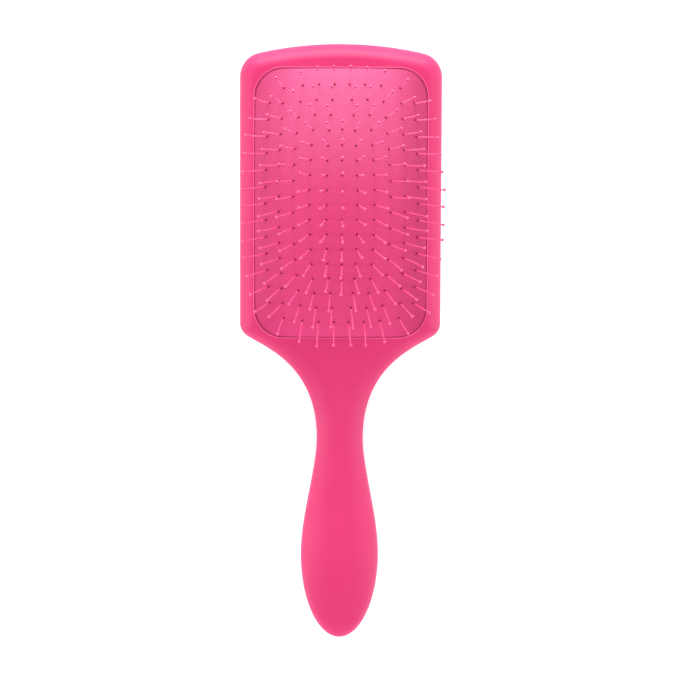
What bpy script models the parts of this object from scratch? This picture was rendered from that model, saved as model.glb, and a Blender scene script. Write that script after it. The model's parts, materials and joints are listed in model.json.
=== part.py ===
# Paddle hair brush: a moulded body, an air cushion in its pocket, and rows of ball-tipped pins.
# Metres, +Z up through the pins, +Y to the head's far end, the handle towards -Y.
# The origin is on the flat back of the head, under the middle of the cushion.

import math

import bmesh
import bpy
from mathutils import Matrix, Vector

MM = 0.001

# Plan of the body, measured from the middle of the cushion
HEAD_WIDTH = 88.2 * MM
HEAD_REACH = 69.1 * MM
HEAD_TOP_RADIUS = 164.0 * MM
HEAD_CORNER_RADIUS = 10.5 * MM
SHOULDER_DISTANCE = 53.4 * MM
SHOULDER_CORNER_RADIUS = 6.5 * MM
SHOULDER_TURN_DEGREES = 57.7
SHOULDER_PULL = 10.0 * MM
NECK_PULL_ABOVE = 31.7 * MM
NECK_PULL_BELOW = 13.9 * MM
NECK_WIDTH = 20.4 * MM
NECK_DISTANCE = 104.1 * MM
GRIP_PULL = 17.4 * MM
GRIP_WIDTH = 34.3 * MM
GRIP_DISTANCE = 156.0 * MM
HANDLE_REACH = 193.5 * MM

# Side view of the body
HEAD_THICKNESS = 13.0 * MM
NECK_THICKNESS = 13.5 * MM
NECK_LIFT = 1.0 * MM
GRIP_THICKNESS = 19.0 * MM
EDGE_ROUND = 5.0 * MM
HANDLE_FLAT_SHARE = 0.12

# Pocket in the head for the cushion
OPENING_WIDTH = 75.4 * MM
OPENING_LENGTH = 117.9 * MM
OPENING_CORNER_RADIUS = 12.5 * MM
POCKET_FLOOR = 3.5 * MM
MOUTH_CHAMFER = 0.7 * MM
GROOVE_DEPTH = 1.6 * MM
GROOVE_HEIGHT = 2.6 * MM
GROOVE_FLOOR = 5.9 * MM

# Cushion
SEAT_GAP = 0.3 * MM
CUSHION_GAP = 0.35 * MM
CUSHION_THICKNESS = 2.0 * MM
CUSHION_SINK = 1.5 * MM
DOME_HEIGHT = 13.5 * MM
DOME_RADIUS_PAST_SIDE = 20.7 * MM
DOME_RADIUS_PAST_END = 11.5 * MM
DOME_CORNER_SHARE = 0.85
DOME_NORMAL_STEP = 0.1 * MM

# Pins and the strips that carry them
PIN_LENGTH = 20.0 * MM
PIN_RADIUS = 0.52 * MM
BALL_RADIUS = 0.85 * MM
PIN_HOLE_GAP = 0.3 * MM
STRIP_WIDTH = 2.6 * MM
STRIP_THICKNESS = 0.9 * MM
STRIP_GAP = 0.5 * MM
STRIP_OVERHANG = 1.6 * MM
PIN_EDGE_MARGIN_SIDE = 4.6 * MM
PIN_EDGE_MARGIN_END = 6.5 * MM

# One pin column from the middle outwards: its place across the pin field at mid-length and at its ends,
# and its half length along the field, all as shares of the field.
PIN_COLUMNS = (
    ("centre", 0.000, 0.000, 0.635),
    ("first", 0.2175, 0.097, 1.000),
    ("second", 0.438, 0.296, 1.000),
    ("third", 0.647, 0.505, 0.989),
    ("fourth", 0.831, 0.755, 0.966),
    ("outer", 1.000, 0.946, 0.834),
)
PIN_COUNTS = {"centre": 11, "first": 17, "second": 17, "third": 16, "fourth": 16, "outer": 13}

# Fineness of the facets
SECTION_RINGS = 9
OUTLINE_STEPS = {"top": 5, "corner": 5, "shoulder_corner": 4, "shoulder": 9, "handle": 8, "end": 9}
OPENING_CORNER_STEPS = 4
OPENING_SIDE_STEPS = 7
OPENING_END_STEPS = 4
DOME_RINGS = 9
PIN_SIDES = 5
BALL_RING_ANGLES = (0.0,)

PINK_BODY = (0.98, 0.09, 0.25, 1.0)
PINK_CUSHION = (0.85, 0.09, 0.24, 1.0)
PINK_PIN = (1.0, 0.22, 0.42, 1.0)


def clear_scene():
    for obj in list(bpy.data.objects):
        bpy.data.objects.remove(obj)


def plain_material(name, colour, roughness):
    material = bpy.data.materials.new(name)
    material.use_nodes = True
    shader = material.node_tree.nodes["Principled BSDF"]
    shader.inputs["Base Color"].default_value = colour
    shader.inputs["Roughness"].default_value = roughness
    shader.inputs["Metallic"].default_value = 0.0
    material.diffuse_color = colour
    return material


def add_object(name, mesh, material=None, parent=None):
    obj = bpy.data.objects.new(name, mesh)
    bpy.context.scene.collection.objects.link(obj)
    if material:
        mesh.materials.append(material)
    obj.parent = parent
    return obj


def add_helper(name, mesh):
    helper = add_object(name, mesh)
    helper.hide_render = True
    helper.display_type = "WIRE"
    return helper


def add_boolean(obj, operation, helper):
    modifier = obj.modifiers.new(operation.lower(), "BOOLEAN")
    modifier.operation = operation
    modifier.object = helper
    modifier.solver = "EXACT"


def mesh_of(bm, name, smooth_angle=None):
    bmesh.ops.recalc_face_normals(bm, faces=bm.faces)
    mesh = bpy.data.meshes.new(name)
    bm.to_mesh(mesh)
    bm.free()
    if smooth_angle:
        mesh.shade_smooth()
        mesh.set_sharp_from_angle(angle=math.radians(smooth_angle))
    return mesh


def add_loop(bm, points):
    return [bm.verts.new(point) for point in points]


def bridge(bm, lower, upper):
    for i in range(len(lower)):
        j = (i + 1) % len(lower)
        bm.faces.new((lower[i], lower[j], upper[j], upper[i]))


def arc(centre, radius, start, end, steps):
    """Points on a circle from one angle to another in radians, without the last one."""
    found = []
    for k in range(steps):
        angle = start + (end - start) * k / steps
        found.append((centre[0] + radius * math.cos(angle), centre[1] + radius * math.sin(angle)))
    return found


def curve(start, start_pull, end_pull, end, steps):
    """Points on a cubic Bezier curve between two plan points, without the last one."""
    found = []
    for k in range(steps):
        share = k / steps
        rest = 1 - share
        weights = (rest**3, 3 * rest**2 * share, 3 * rest * share**2, share**3)
        knots = (start, start_pull, end_pull, end)
        x = sum(weight * knot[0] for weight, knot in zip(weights, knots))
        y = sum(weight * knot[1] for weight, knot in zip(weights, knots))
        found.append((x, y))
    return found


def ease(value):
    share = min(1.0, max(0.0, value))
    return share * share * (3 - 2 * share)


# Body

def body_half_outline():
    """The right half of the plan, from the far end's middle to the end of the handle."""
    half = HEAD_WIDTH / 2
    neck = NECK_WIDTH / 2
    grip = GRIP_WIDTH / 2
    top_centre = (0.0, HEAD_REACH - HEAD_TOP_RADIUS)
    corner_x = half - HEAD_CORNER_RADIUS
    top_to_corner = HEAD_TOP_RADIUS - HEAD_CORNER_RADIUS
    corner_centre = (corner_x, top_centre[1] + math.sqrt(top_to_corner**2 - corner_x**2))
    corner_angle = math.acos(corner_x / top_to_corner)
    points = arc(top_centre, HEAD_TOP_RADIUS, math.pi / 2, corner_angle, OUTLINE_STEPS["top"])
    points += arc(corner_centre, HEAD_CORNER_RADIUS, corner_angle, 0.0, OUTLINE_STEPS["corner"])
    points.append((half, corner_centre[1]))

    # A tight convex corner, then one long hollow sweep into the neck
    turn = math.radians(SHOULDER_TURN_DEGREES)
    shoulder_centre = (half - SHOULDER_CORNER_RADIUS, -SHOULDER_DISTANCE)
    points += arc(shoulder_centre, SHOULDER_CORNER_RADIUS, 0.0, -turn, OUTLINE_STEPS["shoulder_corner"])
    sweep_start = (
        shoulder_centre[0] + SHOULDER_CORNER_RADIUS * math.cos(turn),
        shoulder_centre[1] - SHOULDER_CORNER_RADIUS * math.sin(turn),
    )
    sweep_pull = (
        sweep_start[0] - SHOULDER_PULL * math.sin(turn),
        sweep_start[1] - SHOULDER_PULL * math.cos(turn),
    )
    waist = (neck, -NECK_DISTANCE)
    waist_above = (neck, NECK_PULL_ABOVE - NECK_DISTANCE)
    points += curve(sweep_start, sweep_pull, waist_above, waist, OUTLINE_STEPS["shoulder"])

    waist_below = (neck, -NECK_DISTANCE - NECK_PULL_BELOW)
    widest_above = (grip, GRIP_PULL - GRIP_DISTANCE)
    widest = (grip, -GRIP_DISTANCE)
    points += curve(waist, waist_below, widest_above, widest, OUTLINE_STEPS["handle"])
    end_length = HANDLE_REACH - GRIP_DISTANCE
    steps = OUTLINE_STEPS["end"]
    for k in range(steps + 1):
        angle = math.pi / 2 * k / steps
        points.append((grip * math.cos(angle), -GRIP_DISTANCE - end_length * math.sin(angle)))
    return points


def body_level(along):
    """Middle height and half thickness of the body at a place along it."""
    shoulder_share = ease((-along - OPENING_LENGTH / 2) / (NECK_DISTANCE - OPENING_LENGTH / 2))
    grip_share = ease((-along - NECK_DISTANCE) / (GRIP_DISTANCE - NECK_DISTANCE))
    thickness = HEAD_THICKNESS + (NECK_THICKNESS - HEAD_THICKNESS) * shoulder_share
    thickness += (GRIP_THICKNESS - NECK_THICKNESS) * grip_share
    lift = NECK_LIFT * (shoulder_share - grip_share)
    return lift + thickness / 2, thickness / 2


def handle_share(along):
    """0 in the head, where the edge is a plain round; 1 in the handle, where the section is an oval."""
    start = OPENING_LENGTH / 2
    return ease((-along - start) / (NECK_DISTANCE - start))


def body_ring(outline, angle):
    """The outline drawn in and lifted to one angle round the edge, from -90 degrees below to 90 above."""
    inward = 1 - math.cos(angle)
    ring = []
    count = len(outline)
    for i, (x, y) in enumerate(outline):
        before = Vector(outline[i - 1])
        after = Vector(outline[(i + 1) % count])
        tangent = (after - before).normalized()
        normal = Vector((-tangent.y, tangent.x))
        rounded = Vector((x, y)) - normal * EDGE_ROUND * inward
        spine = Vector((0.0, max(y, -GRIP_DISTANCE)))
        oval = spine + (Vector((x, y)) - spine) * (1 - (1 - HANDLE_FLAT_SHARE) * inward)
        place = rounded.lerp(oval, handle_share(y))
        middle, half = body_level(y)
        ring.append((place.x, place.y, middle + half * math.sin(angle)))
    return ring


def close_cap(bm, ring):
    """Closes a mirrored ring with strips from its right side to its left."""
    count = len(ring)
    for i in range(count // 2):
        right = (ring[i], ring[i + 1])
        left = (ring[-i], ring[-(i + 1)])
        corners = list(dict.fromkeys((right[0], right[1], left[1], left[0])))
        if len(corners) > 2:
            bm.faces.new(corners)


def make_body(material, parent):
    right = body_half_outline()
    left = [(-x, y) for x, y in reversed(right[1:-1])]
    outline = right + left
    bm = bmesh.new()
    rings = []
    for k in range(SECTION_RINGS):
        angle = math.pi * k / (SECTION_RINGS - 1) - math.pi / 2
        rings.append(add_loop(bm, body_ring(outline, angle)))
    for lower, upper in zip(rings, rings[1:]):
        bridge(bm, lower, upper)
    close_cap(bm, rings[0])
    close_cap(bm, rings[-1])
    body = add_object("paddle_body", mesh_of(bm, "paddle_body", 40), material, parent)
    add_boolean(body, "DIFFERENCE", make_pocket_cutter())
    return body


# Pocket

def opening_outline(offset):
    """The rounded rectangle of the opening, grown by an offset."""
    half_width = OPENING_WIDTH / 2 + offset
    half_length = OPENING_LENGTH / 2 + offset
    radius = OPENING_CORNER_RADIUS + offset
    corners = ((1, 1), (-1, 1), (-1, -1), (1, -1))
    points = []
    for quarter, (side, end) in enumerate(corners):
        centre = (side * (half_width - radius), end * (half_length - radius))
        start = quarter * math.pi / 2
        points += arc(centre, radius, start, start + math.pi / 2, OPENING_CORNER_STEPS)
        points += straight(centre, radius, start + math.pi / 2, half_width - radius, half_length - radius)
    return points


def straight(centre, radius, angle, half_width, half_length):
    """The side that follows a corner of the rounded rectangle, without its last point."""
    x = centre[0] + radius * math.cos(angle)
    y = centre[1] + radius * math.sin(angle)
    run = (-math.sin(angle), math.cos(angle))
    length = 2 * (half_width * abs(run[0]) + half_length * abs(run[1]))
    steps = OPENING_END_STEPS if abs(run[0]) > 0.5 else OPENING_SIDE_STEPS
    return [(x + run[0] * length * k / steps, y + run[1] * length * k / steps) for k in range(steps)]


def stack_solid(levels, name, smooth_angle=None):
    """A closed solid from (offset, height) levels of the opening's outline, with flat ends."""
    bm = bmesh.new()
    loops = []
    for offset, height in levels:
        loops.append(add_loop(bm, [(x, y, height) for x, y in opening_outline(offset)]))
    for lower, upper in zip(loops, loops[1:]):
        bridge(bm, lower, upper)
    bm.faces.new(loops[0])
    bm.faces.new(loops[-1])
    return mesh_of(bm, name, smooth_angle)


def make_pocket_cutter():
    groove_top = GROOVE_FLOOR + GROOVE_HEIGHT
    levels = (
        (0.0, POCKET_FLOOR),
        (0.0, GROOVE_FLOOR),
        (GROOVE_DEPTH, GROOVE_FLOOR),
        (GROOVE_DEPTH, groove_top),
        (0.0, groove_top),
        (0.0, HEAD_THICKNESS - MOUTH_CHAMFER),
        (2 * MOUTH_CHAMFER, HEAD_THICKNESS + MOUTH_CHAMFER),
    )
    return add_helper("pocket_cutter", stack_solid(levels, "pocket_cutter"))


# Cushion

def dome_half_sizes():
    return OPENING_WIDTH / 2 - CUSHION_GAP, OPENING_LENGTH / 2 - CUSHION_GAP


def fall(place, half_size, radius):
    """0 in the middle and 1 at the edge, along a circle's arc."""
    edge = math.sqrt(radius**2 - half_size**2)
    return (radius - math.sqrt(max(0.0, radius**2 - place**2))) / (radius - edge)


def dome_height(x, y):
    half_width, half_length = dome_half_sizes()
    across = fall(x, half_width, half_width + DOME_RADIUS_PAST_SIDE)
    along = fall(y, half_length, half_length + DOME_RADIUS_PAST_END)
    share = 1 - across - along + DOME_CORNER_SHARE * across * along
    return HEAD_THICKNESS - CUSHION_SINK + DOME_HEIGHT * share


def dome_normal(x, y):
    step = DOME_NORMAL_STEP
    slope_x = (dome_height(x + step, y) - dome_height(x - step, y)) / (2 * step)
    slope_y = (dome_height(x, y + step) - dome_height(x, y - step)) / (2 * step)
    return Vector((-slope_x, -slope_y, 1.0)).normalized()


def dome_point(x, y, depth=0.0):
    """The point under the dome's outer face at a depth along its normal."""
    return Vector((x, y, dome_height(x, y))) - dome_normal(x, y) * depth


def shrunk_dome(outline, share, drop):
    """An outline drawn in towards the middle and laid on the dome, or a drop under it."""
    return [(x * share, y * share, dome_height(x * share, y * share) - drop) for x, y in outline]


def make_cushion(material, parent, pins):
    bead_floor = GROOVE_FLOOR + SEAT_GAP
    bead_top = GROOVE_FLOOR + GROOVE_HEIGHT - SEAT_GAP
    bead = GROOVE_DEPTH - SEAT_GAP
    outer = opening_outline(-CUSHION_GAP)
    inner = opening_outline(-CUSHION_GAP - CUSHION_THICKNESS)
    bm = bmesh.new()

    # Outer face, from near the middle out to the rim
    loops = []
    for k in range(1, DOME_RINGS + 1):
        share = math.sin(math.pi / 2 * k / DOME_RINGS)
        loops.append(add_loop(bm, shrunk_dome(outer, share, 0.0)))
    crown = bm.verts.new((0.0, 0.0, dome_height(0.0, 0.0)))

    # Skirt and the bead that snaps into the groove
    loops.append(add_loop(bm, [(x, y, bead_top) for x, y in outer]))
    loops.append(add_loop(bm, [(x, y, bead_top) for x, y in opening_outline(bead)]))
    loops.append(add_loop(bm, [(x, y, bead_floor) for x, y in opening_outline(bead)]))
    loops.append(add_loop(bm, [(x, y, bead_floor) for x, y in inner]))

    # Inner face, back to the middle
    for k in range(DOME_RINGS, 0, -1):
        share = math.sin(math.pi / 2 * k / DOME_RINGS)
        loops.append(add_loop(bm, shrunk_dome(inner, share, CUSHION_THICKNESS)))
    ceiling = bm.verts.new((0.0, 0.0, dome_height(0.0, 0.0) - CUSHION_THICKNESS))

    for lower, upper in zip(loops, loops[1:]):
        bridge(bm, lower, upper)
    for i in range(len(outer)):
        j = (i + 1) % len(outer)
        bm.faces.new((crown, loops[0][i], loops[0][j]))
        bm.faces.new((ceiling, loops[-1][j], loops[-1][i]))
    cushion = add_object("cushion", mesh_of(bm, "cushion", 50), material, parent)
    add_boolean(cushion, "DIFFERENCE", make_hole_cutter(pins))
    return cushion


def make_hole_cutter(pins):
    """One prism for each pin hole, through the cushion's wall."""
    bm = bmesh.new()
    reach = CUSHION_THICKNESS * 2
    for x, y in pins:
        profile = ((PIN_RADIUS + PIN_HOLE_GAP, -reach), (PIN_RADIUS + PIN_HOLE_GAP, reach))
        add_turned(bm, profile, pin_frame(x, y))
    return add_helper("pin_hole_cutter", mesh_of(bm, "pin_hole_cutter"))


# Pins and their strips

def column_pins(middle, ends, half_length, count, side):
    """Plan places of one column's pins, bowed outwards at mid-length."""
    field_width = OPENING_WIDTH / 2 - PIN_EDGE_MARGIN_SIDE
    field_length = OPENING_LENGTH / 2 - PIN_EDGE_MARGIN_END
    places = []
    for k in range(count):
        along = 1 - 2 * k / (count - 1)
        across = middle + (ends - middle) * along**2
        places.append((side * across * field_width, along * half_length * field_length))
    return places


def pin_frame(x, y):
    """A frame on the cushion's outer face with its Z along the pin."""
    normal = dome_normal(x, y)
    turned = normal.to_track_quat("Z", "Y").to_matrix().to_4x4()
    return Matrix.Translation(dome_point(x, y)) @ turned


def add_turned(bm, profile, frame):
    """A turned solid from (radius, height) pairs, with flat ends."""
    loops = []
    for radius, height in profile:
        ring = []
        for k in range(PIN_SIDES):
            angle = 2 * math.pi * k / PIN_SIDES
            ring.append(frame @ Vector((radius * math.cos(angle), radius * math.sin(angle), height)))
        loops.append(add_loop(bm, ring))
    for lower, upper in zip(loops, loops[1:]):
        bridge(bm, lower, upper)
    bm.faces.new(loops[0])
    bm.faces.new(loops[-1])


def pin_profile():
    foot = -(CUSHION_THICKNESS + STRIP_GAP + STRIP_THICKNESS / 2)
    ball_centre = PIN_LENGTH - BALL_RADIUS
    neck = ball_centre - math.sqrt(BALL_RADIUS**2 - PIN_RADIUS**2)
    profile = [(PIN_RADIUS, foot), (PIN_RADIUS, neck)]
    for angle in BALL_RING_ANGLES:
        turn = math.radians(angle)
        profile.append((BALL_RADIUS * math.cos(turn), ball_centre + BALL_RADIUS * math.sin(turn)))
    profile.append((0.55 * BALL_RADIUS, PIN_LENGTH))
    return profile


def strip_path(places):
    """The column's pins with a short run on past each end."""
    def past(end, before):
        step = (Vector(end) - Vector(before)).normalized() * STRIP_OVERHANG
        return (end[0] + step.x, end[1] + step.y)

    return [past(places[0], places[1]), *places, past(places[-1], places[-2])]


def make_pin_strip(name, places, material, parent):
    """One moulded strip under the cushion with its row of pins."""
    bm = bmesh.new()
    path = strip_path(places)
    loops = []
    for i, (x, y) in enumerate(path):
        before = Vector(path[max(0, i - 1)])
        after = Vector(path[min(len(path) - 1, i + 1)])
        run = (after - before).normalized()
        normal = dome_normal(x, y)
        side = Vector((run.x, run.y, 0.0)).cross(normal).normalized() * STRIP_WIDTH / 2
        top = dome_point(x, y, CUSHION_THICKNESS + STRIP_GAP)
        floor = top - normal * STRIP_THICKNESS
        loops.append(add_loop(bm, [top - side, top + side, floor + side, floor - side]))
    for lower, upper in zip(loops, loops[1:]):
        bridge(bm, lower, upper)
    bm.faces.new(loops[0])
    bm.faces.new(loops[-1])
    strip = add_object(name, mesh_of(bm, name, 35), material, parent)

    pins = bmesh.new()
    for x, y in places:
        add_turned(pins, pin_profile(), pin_frame(x, y))
    add_boolean(strip, "UNION", add_helper(name + "_pins", mesh_of(pins, name + "_pins", 50)))
    return strip


def main():
    clear_scene()
    body_material = plain_material("soft_touch_pink", PINK_BODY, 0.5)
    cushion_material = plain_material("cushion_rubber", PINK_CUSHION, 0.6)
    pin_material = plain_material("pin_nylon", PINK_PIN, 0.3)

    brush = bpy.data.objects.new("brush", None)
    bpy.context.scene.collection.objects.link(brush)
    pad = bpy.data.objects.new("pad", None)
    bpy.context.scene.collection.objects.link(pad)
    pad.parent = brush

    columns = {}
    for name, middle, ends, half_length in PIN_COLUMNS:
        sides = {"": 1} if middle == 0 else {"_left": -1, "_right": 1}
        for suffix, side in sides.items():
            places = column_pins(middle, ends, half_length, PIN_COUNTS[name], side)
            columns["pin_strip_" + name + suffix] = places

    make_body(body_material, brush)
    make_cushion(cushion_material, brush, [place for places in columns.values() for place in places])
    for name, places in columns.items():
        make_pin_strip(name, places, pin_material, pad)


main()
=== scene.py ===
# Paddle brush: soft-touch body, crosshatched air cushion and ball-tipped pins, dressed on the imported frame.
import json
import math

import bpy
import numpy as np
from mathutils import Matrix, Vector

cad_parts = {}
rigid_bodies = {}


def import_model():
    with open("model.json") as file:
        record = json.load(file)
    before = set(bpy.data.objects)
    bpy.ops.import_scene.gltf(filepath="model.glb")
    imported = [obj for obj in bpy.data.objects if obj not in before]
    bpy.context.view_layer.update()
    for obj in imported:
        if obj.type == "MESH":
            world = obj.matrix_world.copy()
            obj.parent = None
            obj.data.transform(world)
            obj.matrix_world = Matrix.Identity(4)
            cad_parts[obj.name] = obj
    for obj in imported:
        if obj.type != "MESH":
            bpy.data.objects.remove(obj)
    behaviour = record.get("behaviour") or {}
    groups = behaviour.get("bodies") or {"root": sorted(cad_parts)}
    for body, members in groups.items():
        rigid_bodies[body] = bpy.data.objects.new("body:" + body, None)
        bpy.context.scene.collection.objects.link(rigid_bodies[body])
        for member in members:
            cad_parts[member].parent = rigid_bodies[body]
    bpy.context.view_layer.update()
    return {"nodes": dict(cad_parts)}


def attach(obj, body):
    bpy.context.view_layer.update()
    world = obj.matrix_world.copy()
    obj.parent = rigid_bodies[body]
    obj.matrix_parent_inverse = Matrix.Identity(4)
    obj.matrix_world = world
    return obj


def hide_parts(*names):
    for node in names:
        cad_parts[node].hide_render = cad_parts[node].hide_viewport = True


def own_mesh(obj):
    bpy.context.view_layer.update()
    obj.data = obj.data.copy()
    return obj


mm = 0.001
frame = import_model()
print("frame loaded:", sorted(frame["nodes"]))


def hexToLinear(code):
    # sRGB hex to linear: c/12.92 below 0.04045, ((c + 0.055) / 1.055)^2.4 above
    parts = np.array([int(code[i:i + 2], 16) for i in (1, 3, 5)]) / 255
    linear = np.where(parts <= 0.04045, parts / 12.92, ((parts + 0.055) / 1.055) ** 2.4)
    return (*[float(v) for v in linear], 1.0)


def addNode(tree, kind, settings=None, inputs=None, links=None):
    # one node with its settings, its socket values, and links given as {socket: output socket}
    node = tree.nodes.new(kind)
    for name, value in (settings or {}).items():
        setattr(node, name, value)
    for name, value in (inputs or {}).items():
        node.inputs[name].default_value = value
    for name, output in (links or {}).items():
        tree.links.new(output, node.inputs[name])
    return node


def newMaterial(name, values):
    # a material and its shader, with the values that are the same all over set on the shader's own sockets
    material = bpy.data.materials.new(name)
    material.use_nodes = True
    shader = material.node_tree.nodes["Principled BSDF"]
    for socket, value in values.items():
        shader.inputs[socket].default_value = value
    return material, material.node_tree, shader


def twoTone(tree, factor, dark, light, low=0.0, high=1.0):
    # colour that runs from dark to light while the factor runs from low to high
    node = addNode(tree, "ShaderNodeValToRGB", links={"Fac": factor})
    for element, place, code in zip(node.color_ramp.elements, (low, high), (dark, light)):
        element.position = place
        element.color = hexToLinear(code)
    return node.outputs["Color"]


def addPiece(name, points, faces, material, attributes=None):
    # a smooth mesh object at the origin, with any attributes on its points
    mesh = bpy.data.meshes.new(name)
    mesh.from_pydata(np.asarray(points).reshape(-1, 3).tolist(), [], faces)
    for label, values in (attributes or {}).items():
        layer = mesh.attributes.new(label, "FLOAT", "POINT")
        layer.data.foreach_set("value", np.asarray(values, np.float32))
    mesh.update()
    mesh.shade_smooth()
    if material:
        mesh.materials.append(material)
    obj = bpy.data.objects.new(name, mesh)
    bpy.context.scene.collection.objects.link(obj)
    return obj


def gridFaces(rows, columns, wrap=False):
    # quads of a rows x columns grid; wrap closes the columns into a ring
    i, j = np.meshgrid(np.arange(rows - 1), np.arange(columns if wrap else columns - 1), indexing="ij")
    k = (j + 1) % columns
    quads = np.stack([i * columns + j, i * columns + k, (i + 1) * columns + k, (i + 1) * columns + j], -1)
    return quads.reshape(-1, 4)


def softTouchLacquer():
    # soft-touch lacquer over moulded plastic: matte, a little sheen where it turns away, a very fine sprayed grain
    material, tree, shader = newMaterial("softTouchLacquer", {
        "Roughness": 0.5, "IOR": 1.38, "Sheen Weight": 0.03, "Sheen Roughness": 0.35,
        "Sheen Tint": hexToLinear("#ffa6c6"),
    })
    place = addNode(tree, "ShaderNodeTexCoord").outputs["Object"]
    grainSize, patchSize = 0.4 * mm, 30 * mm  # a noise repeats about every 1 / scale
    grain = addNode(tree, "ShaderNodeTexNoise", inputs={"Scale": 1 / grainSize, "Detail": 3.0},
                    links={"Vector": place})
    tone = addNode(tree, "ShaderNodeTexNoise", inputs={"Scale": 1 / patchSize, "Detail": 2.0},
                   links={"Vector": place})
    colour = twoTone(tree, tone.outputs["Fac"], "#c32962", "#c82d66", 0.3, 0.7)
    tree.links.new(colour, shader.inputs["Base Color"])
    bump = addNode(tree, "ShaderNodeBump", inputs={"Strength": 0.2, "Distance": 0.04 * mm},
                   links={"Height": grain.outputs["Fac"]})
    tree.links.new(bump.outputs["Normal"], shader.inputs["Normal"])
    return material


def paintedHighlightLacquer():
    # the lacquer over a moulded bead, a little glossier, and drawn lighter as a painted highlight along the mouth's
    # edge
    return newMaterial("paintedHighlightLacquer", {"Base Color": hexToLinear("#db4c84"), "Roughness": 0.4, "IOR": 1.44})[0]


def crosshatchRubber():
    # moulded rubber with a fine crosshatch relief and little gloss, coloured with painted light on the ridges and
    # painted shade in the valleys.
    # Where the dome falls to a side the ridges that run down it stand out; on the level crown both show as a lattice.
    material, tree, shader = newMaterial("crosshatchRubber", {
        "Roughness": 0.5, "IOR": 1.33, "Specular IOR Level": 0.34,
    })
    pitch = 0.95 * mm
    place = addNode(tree, "ShaderNodeTexCoord").outputs["Object"]
    ridges = {}
    for label, turn in (("rising", 45), ("falling", -45)):
        mapping = addNode(tree, "ShaderNodeMapping", inputs={"Rotation": (0, 0, math.radians(turn))},
                          links={"Vector": place})
        # a wave band repeats every 2 pi / (20 scale)
        wave = addNode(tree, "ShaderNodeTexWave", {"wave_profile": "SIN"},
                       {"Scale": 2 * math.pi / 20 / pitch, "Distortion": 0.45, "Detail": 1.0, "Detail Scale": 0.4},
                       {"Vector": mapping.outputs["Vector"]})
        ridges[label] = wave.outputs["Fac"]
    looks = {label: addNode(tree, "ShaderNodeAttribute", {"attribute_name": label}).outputs["Fac"]
             for label in ("ridgeShare", "ridgeDepth", "paintedSheen", "shade")}
    weave = addNode(tree, "ShaderNodeMix", {"data_type": "FLOAT"},
                    links={"Factor": looks["ridgeShare"], "A": ridges["falling"], "B": ridges["rising"]})
    relief = addNode(tree, "ShaderNodeMix", {"data_type": "FLOAT"}, {"A": 0.5},
                     {"Factor": looks["ridgeDepth"], "B": weave.outputs["Result"]})
    # painted light on the ridges and painted shade in the valleys: the colour follows the relief from dark to light
    colour = twoTone(tree, relief.outputs["Result"], "#a91c52", "#e65189", 0.08, 0.92)
    # a painted sheen over the far half, then painted shade at the sides, in the pits and along the mouth
    for label, code in (("paintedSheen", "#d09cbc"), ("shade", "#860a3c")):
        colour = addNode(tree, "ShaderNodeMix", {"data_type": "RGBA"}, {"B": hexToLinear(code)},
                         {"Factor": looks[label], "A": colour}).outputs["Result"]
    tree.links.new(colour, shader.inputs["Base Color"])
    bump = addNode(tree, "ShaderNodeBump", inputs={"Strength": 0.3, "Distance": 0.1 * mm},
                   links={"Height": relief.outputs["Result"]})
    tree.links.new(bump.outputs["Normal"], shader.inputs["Normal"])
    return material


def tintedNylon():
    # moulded nylon: slightly translucent, lighter than the rubber, pink in its own tone; paler as painted light and
    # deeper crimson as painted shade
    material, tree, shader = newMaterial("tintedNylon", {
        "Roughness": 0.5, "IOR": 1.4, "Subsurface Weight": 0.6, "Subsurface Radius": (0.003, 0.0015, 0.002),
        "Subsurface Scale": 0.5,
    })
    pinkAt = 0.4
    toneAndPaintedShading = addNode(tree, "ShaderNodeAttribute", {"attribute_name": "toneAndPaintedShading"})
    colour = addNode(tree, "ShaderNodeValToRGB", links={"Fac": toneAndPaintedShading.outputs["Fac"]})
    colour.color_ramp.elements.new(pinkAt)
    for element, code in zip(colour.color_ramp.elements, ("#f283ac", "#de5887", "#9a1c4c")):
        element.color = hexToLinear(code)
    tree.links.new(colour.outputs["Color"], shader.inputs["Base Color"])
    return material


body = {
    "headWidth": 88.2 * mm, "headReach": 69.1 * mm, "topRadius": 164.0 * mm, "cornerRadius": 10.5 * mm,
    "shoulderAt": 53.4 * mm, "shoulderCorner": 6.5 * mm, "shoulderTurn": math.radians(57.7),
    "shoulderPull": 10.0 * mm, "neckPullAbove": 31.7 * mm, "neckPullBelow": 13.9 * mm, "gripPull": 17.4 * mm,
    "neckWidth": 20.4 * mm, "neckAt": 104.1 * mm, "gripWidth": 34.3 * mm, "gripAt": 156.0 * mm,
    "handleReach": 193.5 * mm, "headThickness": 13.0 * mm, "neckThickness": 13.5 * mm, "neckLift": 1.0 * mm,
    "gripThickness": 19.0 * mm, "edgeRound": 6.2 * mm, "backRound": 5.0 * mm, "rimCrown": 0.25, "handleFlat": 0.12,
    "sharpAngle": math.radians(32), "sectionRings": 41, "bowSteps": 40, "cornerSteps": 20, "sideSteps": 60,
    "shoulderSteps": 16, "sweepSteps": 50, "handleEndSteps": 60,
}
opening = {
    "width": 75.4 * mm, "length": 117.9 * mm, "corner": 12.5 * mm, "floor": 3.5 * mm, "lip": 0.5 * mm,
    "bead": 0.26 * mm, "beadSunk": 0.35, "grooveDepth": 1.6 * mm, "grooveHeight": 2.6 * mm, "grooveFloor": 5.9 * mm,
    "cornerSteps": 14, "lipSteps": 8, "beadSides": 10,
}


def ease(value):
    # 0 to 1 with level ends: 3 s^2 - 2 s^3
    share = np.clip(value, 0, 1)
    return share * share * (3 - 2 * share)


def arcPoints(centre, radius, start, end, steps):
    # circle about a centre, without its last point
    angle = np.linspace(start, end, steps, endpoint=False)
    return np.stack([centre[0] + radius * np.cos(angle), centre[1] + radius * np.sin(angle)], -1)


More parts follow.
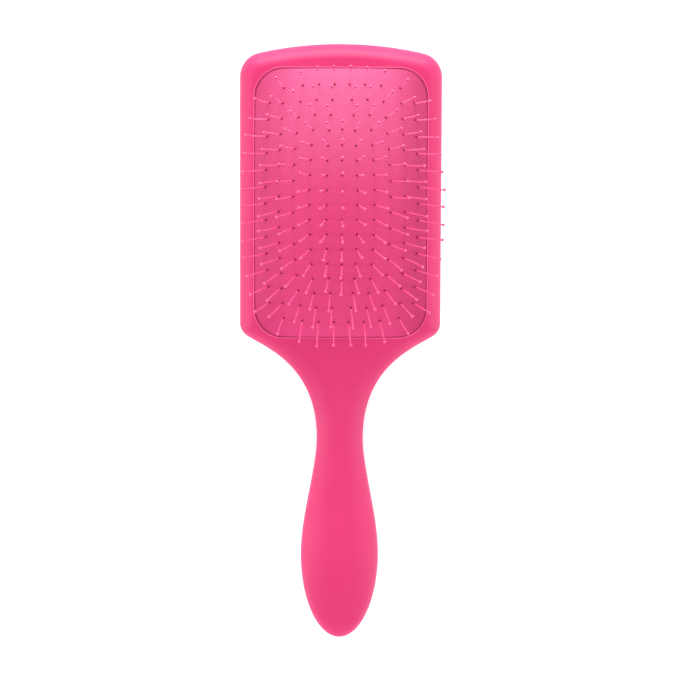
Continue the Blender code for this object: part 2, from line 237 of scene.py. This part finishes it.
def sweepPoints(start, startPull, endPull, end, steps):
    # cubic Bezier: (1-s)^3 a + 3 (1-s)^2 s b + 3 (1-s) s^2 c + s^3 d, without its last point
    s = np.linspace(0, 1, steps, endpoint=False)[:, None]
    a, b, c, d = (np.array(knot) for knot in (start, startPull, endPull, end))
    return (1 - s) ** 3 * a + 3 * (1 - s) ** 2 * s * b + 3 * (1 - s) * s ** 2 * c + s ** 3 * d


def bodyOutline():
    # half plan: bowed end, corner, straight side, tight shoulder corner, two sweeps through the neck to the grip,
    # elliptic end; then mirrored
    half, neck, grip = body["headWidth"] / 2, body["neckWidth"] / 2, body["gripWidth"] / 2
    top = (0.0, body["headReach"] - body["topRadius"])
    cornerX = half - body["cornerRadius"]
    reach = body["topRadius"] - body["cornerRadius"]
    corner = (cornerX, top[1] + math.sqrt(reach ** 2 - cornerX ** 2))
    cornerAngle = math.acos(cornerX / reach)
    turn, radius = body["shoulderTurn"], body["shoulderCorner"]
    shoulder = (half - radius, -body["shoulderAt"])
    sweep = (shoulder[0] + radius * math.cos(turn), shoulder[1] - radius * math.sin(turn))
    pull = (sweep[0] - body["shoulderPull"] * math.sin(turn), sweep[1] - body["shoulderPull"] * math.cos(turn))
    waist, widest = (neck, -body["neckAt"]), (grip, -body["gripAt"])
    waistAbove, waistBelow = (neck, waist[1] + body["neckPullAbove"]), (neck, waist[1] - body["neckPullBelow"])
    side = np.linspace(corner[1], shoulder[1], body["sideSteps"], endpoint=False)
    endAngle = np.linspace(0, math.pi / 2, body["handleEndSteps"])
    endLength = body["handleReach"] - body["gripAt"]
    right = np.concatenate([
        arcPoints(top, body["topRadius"], math.pi / 2, cornerAngle, body["bowSteps"]),
        arcPoints(corner, body["cornerRadius"], cornerAngle, 0.0, body["cornerSteps"]),
        np.stack([np.full_like(side, half), side], -1),
        arcPoints(shoulder, radius, 0.0, -turn, body["shoulderSteps"]),
        sweepPoints(sweep, pull, waistAbove, waist, body["sweepSteps"]),
        sweepPoints(waist, waistBelow, (grip, widest[1] + body["gripPull"]), widest, body["sweepSteps"]),
        np.stack([grip * np.cos(endAngle), widest[1] - endLength * np.sin(endAngle)], -1),
    ])
    right[-1, 0] = 0.0
    left = right[1:-1][::-1] * (-1, 1)
    return np.concatenate([right, left]), len(right)


def mirrorCap(count, halfCount, flip):
    # closes a mirrored ring with strips from each right point to its mirror image, and a triangle at each end
    i = np.arange(1, halfCount - 2)
    strips = np.stack([i, i + 1, count - i - 1, count - i], -1).tolist()
    ends = [[0, 1, count - 1], [halfCount - 2, halfCount - 1, halfCount]]
    return [face[::-1] if flip else face for face in strips + ends]


def bodySurface():
    # each ring is the outline drawn in by (1 - cos^p t) and lifted by sin^p t, t from -90 to 90 degrees. p is 1 but
    # for the pin side of the head, where a larger p crowns the rim. The head draws in along its normal, the handle
    # to its spine
    outline, halfCount = bodyOutline()
    tangent = np.roll(outline, -1, 0) - np.roll(outline, 1, 0)
    tangent /= np.linalg.norm(tangent, axis=1, keepdims=True)
    normal = np.stack([-tangent[:, 1], tangent[:, 0]], -1)
    y = outline[:, 1]
    start = opening["length"] / 2
    shoulderShare = ease((-y - start) / (body["neckAt"] - start))
    gripShare = ease((-y - body["neckAt"]) / (body["gripAt"] - body["neckAt"]))
    thickness = body["headThickness"] + (body["neckThickness"] - body["headThickness"]) * shoulderShare
    thickness = thickness + (body["gripThickness"] - body["neckThickness"]) * gripShare
    middle = body["neckLift"] * (shoulderShare - gripShare) + thickness / 2
    spine = np.stack([np.zeros_like(y), np.maximum(y, -body["gripAt"])], -1)
    angle = np.linspace(-math.pi / 2, math.pi / 2, body["sectionRings"])[:, None, None]
    share = shoulderShare[None, :, None]
    power = np.where(angle > 0, 1 + body["rimCrown"] * (1 - share), 1.0)
    inward = 1 - np.maximum(0, np.cos(angle)) ** power
    rounded = outline - normal * np.where(angle > 0, body["edgeRound"], body["backRound"]) * inward
    oval = spine + (outline - spine) * (1 - (1 - body["handleFlat"]) * inward)
    plan = rounded * (1 - share) + oval * share
    lift = np.sign(angle) * np.abs(np.sin(angle)) ** power
    height = middle + thickness / 2 * lift[:, :, 0]
    points = np.concatenate([plan, height[:, :, None]], -1)
    rings, count = points.shape[:2]
    faces = gridFaces(rings, count, wrap=True)[:, ::-1].tolist()  # the outline runs clockwise
    faces += mirrorCap(count, halfCount, False)
    faces += [[(rings - 1) * count + c for c in face] for face in mirrorCap(count, halfCount, True)]
    return points, faces


def openingLoop(offset):
    # rounded rectangle grown by an offset, counter-clockwise
    radius = opening["corner"] + offset
    halfWidth, halfLength = opening["width"] / 2 + offset - radius, opening["length"] / 2 + offset - radius
    angle = np.linspace(0, math.pi / 2, opening["cornerSteps"])
    quarters = [(1, 1, 0), (-1, 1, 1), (-1, -1, 2), (1, -1, 3)]
    loop = [np.stack([sx * halfWidth + radius * np.cos(angle + q * math.pi / 2),
                      sy * halfLength + radius * np.sin(angle + q * math.pi / 2)], -1) for sx, sy, q in quarters]
    return np.concatenate(loop)


def makeMouthBead(material):
    # a thin bead round the mouth: a circle carried along the opening's outline, partly sunk in the rim, in the
    # lacquer with the painted highlight
    radius, sides = opening["bead"], opening["beadSides"]
    path = openingLoop(radius)
    step = np.roll(path, -1, 0) - np.roll(path, 1, 0)
    outward = np.stack([step[:, 1], -step[:, 0]], -1) / np.linalg.norm(step, axis=1, keepdims=True)
    i = np.arange(sides)
    j = (i + 1) % sides
    angle = 2 * math.pi * i / sides
    plan = path[:, None] + outward[:, None] * (radius * np.cos(angle))[None, :, None]
    height = body["headThickness"] - opening["beadSunk"] * radius + radius * np.sin(angle)
    height = np.broadcast_to(height, plan.shape[:2])
    faces = gridFaces(len(path), sides, wrap=True)[:, ::-1].tolist()
    last = sides * (len(path) - 1)
    faces += np.stack([i, j, last + j, last + i], -1).tolist()
    piece = addPiece("mouthBead", np.concatenate([plan, height[..., None]], -1), faces, material)
    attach(piece, "handle")


def makeBody(material):
    # lofted solid less a stepped pocket: floor, groove for the cushion's bead, and a mouth with a rounded lip,
    # lip (1 - cos a) out and lip (1 - sin a) down from the rim
    points, faces = bodySurface()
    piece = addPiece("softTouchBody", points, faces, material)
    top = opening["grooveFloor"] + opening["grooveHeight"]
    rim = body["headThickness"]
    levels = [(0.0, opening["floor"]), (0.0, opening["grooveFloor"]),
              (opening["grooveDepth"], opening["grooveFloor"]), (opening["grooveDepth"], top), (0.0, top)]
    levels += [(opening["lip"] * (1 - math.cos(a)), rim - opening["lip"] * (1 - math.sin(a)))
               for a in np.linspace(0, math.pi / 2, opening["lipSteps"])]
    levels.append((opening["lip"], rim + opening["lip"]))
    count = len(openingLoop(0.0))
    loops = [np.column_stack([openingLoop(offset), np.full(count, z)]) for offset, z in levels]
    cutFaces = gridFaces(len(loops), count, wrap=True).tolist()
    cutFaces += [np.arange(count)[::-1].tolist(), ((len(loops) - 1) * count + np.arange(count)).tolist()]
    cutter = addPiece("pocketCutter", np.concatenate(loops), cutFaces, None)
    cut = piece.modifiers.new("pocket", "BOOLEAN")
    cut.operation, cut.solver, cut.object = "DIFFERENCE", "EXACT", cutter
    graph = bpy.context.evaluated_depsgraph_get()
    finished = bpy.data.meshes.new_from_object(piece.evaluated_get(graph))
    piece.modifiers.clear()
    piece.data = finished
    bpy.data.objects.remove(cutter)
    finished.shade_smooth()
    finished.set_sharp_from_angle(angle=body["sharpAngle"])
    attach(piece, "handle")
    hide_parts("paddle_body")
    print("body:", len(finished.polygons), "faces")


cushion = {
    "gap": 0.35 * mm, "edge": 0.05 * mm, "sink": -0.15 * mm, "height": 11.85 * mm, "pastSide": 20.7 * mm,
    "pastEnd": 11.5 * mm, "cornerShare": 0.94, "skirtFoot": 6.2 * mm, "slopeStep": 0.1 * mm,
    "across": 250, "along": 390, "rowCrowd": 0.12, "rowTurn": 1.45, "sharpAngle": math.radians(60),
    "pitRadius": 0.44 * mm, "pitDepth": 0.3 * mm, "pitShift": 0.7 * mm, "pitEdge": 6, "pitDraw": 0.55,
    "pitReach": 0.9 * mm, "levelSlope": 0.12,
    # tones of painted shade, painted sheen and the relief's painted light and shade, all shares of 1 but for the
    # line's widths
    "sideShade": 0.35, "rightMore": 0.07, "lineShade": 0.4, "lineCorner": 1.2, "lineLimit": 0.85, "cornerPower": 6,
    "lineWidth": 0.45, "lineCornerWidth": 2.6,
    "paintedSheen": 0.155, "paintedSheenAt": 0.65, "paintedSheenFar": 0.7, "paintedSheenNear": 0.42, "paintedSheenSides": 0.6,
    "ridgeLeast": 0.14, "ridgeRange": 0.72, "ridgeTurn": 0.62, "reliefMiddle": 0.66, "reliefSlope": 0.32,
}


def fall(place, halfSize, radius):
    # 0 in the middle, 1 at the edge, along a circle's arc: (R - sqrt(R^2 - p^2)) / (R - sqrt(R^2 - h^2))
    edge = math.sqrt(radius ** 2 - halfSize ** 2)
    return (radius - np.sqrt(np.maximum(0, radius ** 2 - place ** 2))) / (radius - edge)


def domeHeight(x, y):
    # rim level plus height times (1 - a - b + k a b), with a and b the falls across and along
    halfWidth = opening["width"] / 2 - cushion["gap"]
    halfLength = opening["length"] / 2 - cushion["gap"]
    across = fall(x, halfWidth, halfWidth + cushion["pastSide"])
    along = fall(y, halfLength, halfLength + cushion["pastEnd"])
    share = 1 - across - along + cushion["cornerShare"] * across * along
    return body["headThickness"] - cushion["sink"] + cushion["height"] * share


def domeNormal(x, y):
    # (-dz/dx, -dz/dy, 1) from small steps, at unit length
    step = cushion["slopeStep"]
    slopeX = (domeHeight(x + step, y) - domeHeight(x - step, y)) / (2 * step)
    slopeY = (domeHeight(x, y + step) - domeHeight(x, y - step)) / (2 * step)
    normal = np.stack([-slopeX, -slopeY, np.ones_like(slopeX)], -1)
    return normal / np.linalg.norm(normal, axis=-1, keepdims=True)


def cushionEdge():
    # half width, half length and corner radius of the membrane's plan
    edge = cushion["edge"]
    return opening["width"] / 2 - edge, opening["length"] / 2 - edge, opening["corner"] - edge


def cushionTones(x, y, pit):
    # painted shade: the sides darker as in their own shade, each pin's pit dark as in the shade of its hole, and a
    # crimson line of painted shade where the membrane turns down into the mouth: exp(-(d / w)^2), with d the distance
    # in from the rounded rectangle's edge, wider and deeper in the corners
    halfWidth, halfLength, radius = cushionEdge()
    pastX, pastY = np.abs(x) - (halfWidth - radius), np.abs(y) - (halfLength - radius)
    inside = radius - np.hypot(np.maximum(pastX, 0), np.maximum(pastY, 0)) - np.minimum(np.maximum(pastX, pastY), 0)
    corner = (x / halfWidth) ** cushion["cornerPower"] * (y / halfLength) ** cushion["cornerPower"]
    lineWidth = (cushion["lineWidth"] + cushion["lineCornerWidth"] * corner) * mm
    line = (cushion["lineShade"] + cushion["lineCorner"] * corner) * np.exp(-(inside / lineWidth) ** 2)
    side = (cushion["sideShade"] + cushion["rightMore"] * np.sign(x)) * ease(2 * np.abs(x) / halfWidth - 1)
    shade = np.maximum(pit, np.maximum(side, np.minimum(line, cushion["lineLimit"])))
    # painted sheen, paler over the middle of the far half: a bell along the length, steeper towards the handle
    reach = y / halfLength - cushion["paintedSheenAt"]
    bell = np.exp(-(reach / np.where(reach > 0, cushion["paintedSheenFar"], cushion["paintedSheenNear"])) ** 2)
    paintedSheen = cushion["paintedSheen"] * bell * (1 - cushion["paintedSheenSides"] * (x / halfWidth) ** 2)
    # the rising ridges show most on the right, the falling ones on the left; the relief and its painted light and
    # shade flatten towards the handle
    ridgeShare = cushion["ridgeLeast"] + cushion["ridgeRange"] * ease(0.5 + cushion["ridgeTurn"] * x / halfWidth)
    ridgeDepth = ease(cushion["reliefMiddle"] + cushion["reliefSlope"] * y / halfLength)
    return {"shade": shade, "paintedSheen": paintedSheen, "ridgeShare": ridgeShare, "ridgeDepth": ridgeDepth}


def makeCushion(material, pinPlaces):
    # dome over a grid of the rounded rectangle (x = u w(y), w shrinking round the corners), with a small pit at each
    # pin's uphill side, then a skirt down to the bead and a floor that closes it
    halfWidth, halfLength, radius = cushionEdge()
    u = np.linspace(-1, 1, cushion["across"])
    t = np.linspace(-1, 1, cushion["along"])
    crowd, turn = cushion["rowCrowd"], cushion["rowTurn"]  # rows a little closer at the ends
    y = (crowd * np.sin(turn * t) / math.sin(turn) + (1 - crowd) * t) * halfLength
    past = np.clip(np.abs(y) - (halfLength - radius), 0, radius)
    width = halfWidth - radius + np.sqrt(np.maximum(0, radius ** 2 - past ** 2))
    x = u[None, :] * width[:, None]
    y = np.broadcast_to(y[:, None], x.shape)
    downhill = domeNormal(pinPlaces[:, 0], pinPlaces[:, 1])[:, :2]
    downhill = downhill / np.maximum(np.linalg.norm(downhill, axis=1, keepdims=True), cushion["levelSlope"])
    nearest = np.full(x.shape, 1.0)
    for px, py in pinPlaces - cushion["pitShift"] * downhill:
        # points near a pit are drawn towards it, r (1 - d exp(-(r / reach)^2)), so that its edge is crisp
        pull = 1 - cushion["pitDraw"] * np.exp(-((x - px) ** 2 + (y - py) ** 2) / cushion["pitReach"] ** 2)
        x, y = px + (x - px) * pull, py + (y - py) * pull
        nearest = np.minimum(nearest, np.hypot(x - px, y - py))
    pit = np.exp(-(nearest / cushion["pitRadius"]) ** cushion["pitEdge"])
    top = np.stack([x, y, domeHeight(x, y) - cushion["pitDepth"] * pit], -1)
    rows, columns = x.shape
    index = np.arange(rows * columns).reshape(rows, columns)
    rim = np.concatenate([index[0, :-1], index[:-1, -1], index[-1, :0:-1], index[:0:-1, 0]])
    flat = top.reshape(-1, 3)
    foot = flat[rim].copy()
    foot[:, 2] = cushion["skirtFoot"]
    count, base = len(rim), len(flat)
    i = np.arange(count)
    j = (i + 1) % count
    skirt = np.stack([rim[j], rim[i], base + i, base + j], -1)
    floor = np.stack([base + j, base + i, np.full(count, base + count)], -1)
    faces = gridFaces(rows, columns).tolist() + skirt.tolist() + floor.tolist()
    points = np.concatenate([flat, foot, [[0, 0, cushion["skirtFoot"]]]])
    looks = {label: np.concatenate([values.reshape(-1), np.zeros(count + 1)])
             for label, values in cushionTones(x, y, pit).items()}
    piece = addPiece("airCushion", points, faces, material, looks)
    piece.data.set_sharp_from_angle(angle=cushion["sharpAngle"])
    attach(piece, "handle")
    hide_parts("cushion")
    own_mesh(piece)
    print("cushion:", len(piece.data.polygons), "faces")


pins = {
    "length": 20.0 * mm, "radius": 0.29 * mm, "ball": 0.68 * mm, "sides": 8, "foot": 2.95 * mm,
    "taper": (1.0, 0.98, 0.94, 0.9, 0.85), "ballAngles": (-32, 0, 35, 65), "sharpAngle": math.radians(60),
    "marginSide": 4.6 * mm, "marginEnd": 6.5 * mm, "bend": 0.35 * mm, "seed": 7, "lean": 0.94, "spread": 1.022,
    "shift": 0.35 * mm,
    "stripWidth": 2.6 * mm, "stripThickness": 0.9 * mm, "stripDepth": 2.5 * mm, "stripOverhang": 1.6 * mm,
    # depth of tone: 0 pale, 0.4 pink, 1 crimson; the far shafts' paler tone and the far balls' pale tops and crimson
    # undersides are painted light and painted shade
    "shaftTone": 0.4, "farShaftPaintedLight": 0.22, "ballTone": 0.5, "farBallPaintedLight": 0.36, "farBallPaintedShade": 0.6,
    # column: place across the field at mid-length, at its ends, half length, number of pins
    "columns": {
        "centre": (0.000, 0.000, 0.635, 11), "first": (0.2175, 0.097, 1.000, 17), "second": (0.438, 0.296, 1.000, 17),
        "third": (0.647, 0.505, 0.989, 16), "fourth": (0.831, 0.755, 0.966, 16), "outer": (1.000, 0.946, 0.834, 13),
    },
}


def columnPlaces(middle, ends, halfLength, count, side):
    # a bowed column: across = middle + (ends - middle) t^2 while t runs from 1 to -1 along the field
    along = np.linspace(1, -1, count)
    across = side * (middle + (ends - middle) * along ** 2)
    return np.stack([across * (opening["width"] / 2 - pins["marginSide"]) * pins["spread"] + pins["shift"],
                     along * halfLength * (opening["length"] / 2 - pins["marginEnd"])], -1)


def allColumns():
    # the middle column stands alone, the others come in pairs
    found = {}
    for name, (middle, ends, halfLength, count) in pins["columns"].items():
        for suffix, side in ((("", 1),) if middle == 0 else (("_left", -1), ("_right", 1))):
            found[name + suffix] = columnPlaces(middle, ends, halfLength, count, side)
    return found


def pinProfile():
    # a slightly tapered shaft up to the ball's neck, then a ball: radius and height along the pin
    shaft, ball, angle = np.array(pins["taper"]) * pins["radius"], pins["ball"], np.radians(pins["ballAngles"])
    centre = pins["length"] - ball
    neck = centre - math.sqrt(ball ** 2 - shaft[-1] ** 2)
    radius = np.concatenate([shaft, ball * np.cos(angle)])
    height = np.concatenate([np.linspace(-pins["foot"], neck, len(shaft)), centre + ball * np.sin(angle)])
    return radius, height


def pinTones(places, height, angle):
    # f runs from -1 at the handle to 1 at the far end. Shafts are painted paler with it as painted light,
    # s = shaft - paler ease(1.6 f - 0.2). Far balls are pale above as painted light and deep on their handle side as
    # painted shade; near ones are of one tone: r (top + under max(0, -sin a)) + near (1 - r), r = ease(0.55 + 0.6 f)
    far = places[:, 1] / (opening["length"] / 2)
    reach = ease(0.55 + 0.6 * far)[:, None, None]
    shaft = (pins["shaftTone"] - pins["farShaftPaintedLight"] * ease(1.6 * far - 0.2))[:, None, None]
    under = np.clip(-np.sin(angle), 0, 1)
    ball = reach * (pins["farBallPaintedLight"] + pins["farBallPaintedShade"] * under) + pins["ballTone"] * (1 - reach)
    isBall = (height > pins["length"] - 2 * pins["ball"])[:, None]
    toneAndPaintedShading = np.where(isBall, ball, shaft * np.ones(len(angle)))
    ends = np.full((len(places), 2), pins["shaftTone"])
    return np.concatenate([toneAndPaintedShading.reshape(len(places), -1), ends], 1)


def pinShells(places, dice):
    # every pin of a column: circles of the profile's radius along a line that bends a little, on the dome's normal
    radius, height = pinProfile()
    count, rings, sides = len(places), len(radius), pins["sides"]
    base = np.column_stack([places, domeHeight(places[:, 0], places[:, 1])])
    normal = domeNormal(places[:, 0], places[:, 1]) * (pins["lean"], 1.0, 1.0)
    normal /= np.linalg.norm(normal, axis=1, keepdims=True)
    across = np.cross(normal, np.array([0.0, 1.0, 0.0]))
    across /= np.linalg.norm(across, axis=1, keepdims=True)
    along = np.cross(across, normal)
    lean = dice.normal(0, pins["bend"], (count, 2))
    swing = np.clip(height / pins["length"], 0, 1) ** 2
    angle = 2 * math.pi * np.arange(sides) / sides
    offset = swing[None, :, None] * lean[:, None, :]
    points = (base[:, None, None] + normal[:, None, None] * height[None, :, None, None]
              - across[:, None, None] * (radius[:, None] * np.cos(angle) + offset[:, :, :1])[..., None]
              + along[:, None, None] * (radius[:, None] * np.sin(angle) + offset[:, :, 1:])[..., None])
    tip = base + normal * pins["length"] - across * lean[:, :1] + along * lean[:, 1:]
    foot = base - normal * pins["foot"]
    block = np.concatenate([points.reshape(count, -1, 3), foot[:, None], tip[:, None]], 1)
    toneAndPaintedShading = pinTones(places, height, angle)
    i = np.arange(sides)
    j = (i + 1) % sides
    last = (rings - 1) * sides
    ends = np.concatenate([np.stack([j, i, np.full(sides, rings * sides)], -1),
                           np.stack([last + i, last + j, np.full(sides, rings * sides + 1)], -1)])
    starts = (np.arange(count) * block.shape[1])[:, None, None]
    quads = (gridFaces(rings, sides, wrap=True)[None] + starts).reshape(-1, 4)
    return block.reshape(-1, 3), quads.tolist() + (ends[None] + starts).reshape(-1, 3).tolist(), toneAndPaintedShading.reshape(-1)


def stripShell(places):
    # the moulded strip under the membrane: a flat rectangle carried through the pins and a little past both ends
    run = np.stack([places[0] - places[1], places[-1] - places[-2]])
    run *= pins["stripOverhang"] / np.linalg.norm(run, axis=1, keepdims=True)
    path = np.concatenate([[places[0] + run[0]], places, [places[-1] + run[1]]])
    step = np.gradient(path, axis=0)
    normal = domeNormal(path[:, 0], path[:, 1])
    side = np.cross(np.column_stack([step, np.zeros(len(path))]), normal)
    side *= pins["stripWidth"] / 2 / np.linalg.norm(side, axis=1, keepdims=True)
    top = np.column_stack([path, domeHeight(path[:, 0], path[:, 1])]) - normal * pins["stripDepth"]
    floor = top - normal * pins["stripThickness"]
    points = np.stack([top - side, top + side, floor + side, floor - side], 1)
    last = 4 * (len(path) - 1)
    faces = gridFaces(len(path), 4, wrap=True).tolist() + [[3, 2, 1, 0], [last, last + 1, last + 2, last + 3]]
    return points.reshape(-1, 3), faces


def makeColumn(name, places, material, dice):
    # a column's pins and their strip, as one piece
    pinPoints, pinFaces, toneAndPaintedShading = pinShells(places, dice)
    stripPoints, stripFaces = stripShell(places)
    faces = pinFaces + [[c + len(pinPoints) for c in face] for face in stripFaces]
    piece = addPiece("pinColumn_" + name, np.concatenate([pinPoints, stripPoints]), faces, material,
                     {"toneAndPaintedShading": np.concatenate([toneAndPaintedShading, np.zeros(len(stripPoints))])})
    piece.data.set_sharp_from_angle(angle=pins["sharpAngle"])
    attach(piece, "pin_field")
    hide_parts("pin_strip_" + name)


studio = {
    "aim": (0.33 * mm, -60.6 * mm, 12.0 * mm), "camera": (-18.0 * mm, 95.0 * mm, 1312.0 * mm),
    "frameWidth": 299.5 * mm, "roll": 0.22, "sensor": 36.0, "clipEnd": 20,
    "floor": "#ffffff", "floorGlow": 0.25, "floorReach": 3.0, "floorDrop": 0.2 * mm, "worldStrength": 0.76,
    "lightAim": (0, -0.02, 0),
    # softbox: place, width and height in metres, watts, and whether it gleams (the low one is filtered against glare)
    "softboxes": {
        "topSoftbox": ((0.0, 0.9, 0.34), (1.0, 0.35), 14.0, True),
        "leftSoftbox": ((-0.85, -0.2, 0.38), (0.35, 0.9), 3.6, True),
        "rightSoftbox": ((0.85, -0.2, 0.38), (0.35, 0.9), 2.9, True),
        "lowSoftbox": ((0.0, -1.05, 0.45), (0.9, 0.4), 6.2, False),
    },
}


def makeStudio():
    # a white floor just under the brush, a white room, four softboxes and a long lens nearly overhead
    scene = bpy.context.scene
    reach = [-studio["floorReach"], studio["floorReach"]]
    grid = np.stack(np.meshgrid(reach, reach), -1).reshape(-1, 2)
    material = newMaterial("paleFloor", {
        "Base Color": hexToLinear(studio["floor"]), "Roughness": 0.9,
        "Emission Color": hexToLinear(studio["floor"]), "Emission Strength": studio["floorGlow"],
    })[0]
    floor = addPiece("floor", np.column_stack([grid, np.full(4, -studio["floorDrop"])]), [[0, 1, 3, 2]], material)
    world = bpy.data.worlds.new("studioWhite")
    world.use_nodes = True
    room = world.node_tree.nodes["Background"].inputs
    room["Color"].default_value, room["Strength"].default_value = (1, 1, 1, 1), studio["worldStrength"]
    scene.world = world
    for name, (place, size, watts, gleams) in studio["softboxes"].items():
        light = bpy.data.lights.new(name, "AREA")
        light.shape, light.size, light.size_y, light.energy = "RECTANGLE", size[0], size[1], watts
        lamp = bpy.data.objects.new(name, light)
        lamp.location, lamp.visible_glossy = place, gleams
        lamp.rotation_euler = (Vector(studio["lightAim"]) - Vector(place)).to_track_quat("-Z", "Y").to_euler()
        scene.collection.objects.link(lamp)
    camera = bpy.data.cameras.new("camera")
    eye = bpy.data.objects.new("camera", camera)
    scene.collection.objects.link(eye)
    eye.location = studio["camera"]
    line = Vector(studio["aim"]) - Vector(studio["camera"])
    back = -line.normalized()
    right = Vector((0, 1, 0)).cross(back).normalized()  # +Y stays up in the picture
    turned = Matrix((right, back.cross(right), back)).transposed()
    eye.rotation_euler = (turned @ Matrix.Rotation(math.radians(studio["roll"]), 3, "Z")).to_euler()
    camera.sensor_width, camera.clip_end = studio["sensor"], studio["clipEnd"]
    camera.lens = studio["sensor"] * line.length / studio["frameWidth"]
    scene.camera = eye
    scene.view_settings.view_transform = "Standard"
    print("studio set")


def main():
    columns = allColumns()
    makeBody(softTouchLacquer())
    makeMouthBead(paintedHighlightLacquer())
    makeCushion(crosshatchRubber(), np.concatenate(list(columns.values())))
    nylon = tintedNylon()
    dice = np.random.default_rng(pins["seed"])
    for name, places in columns.items():
        makeColumn(name, places, nylon, dice)
    print("pins:", sum(len(places) for places in columns.values()))
    makeStudio()


main()
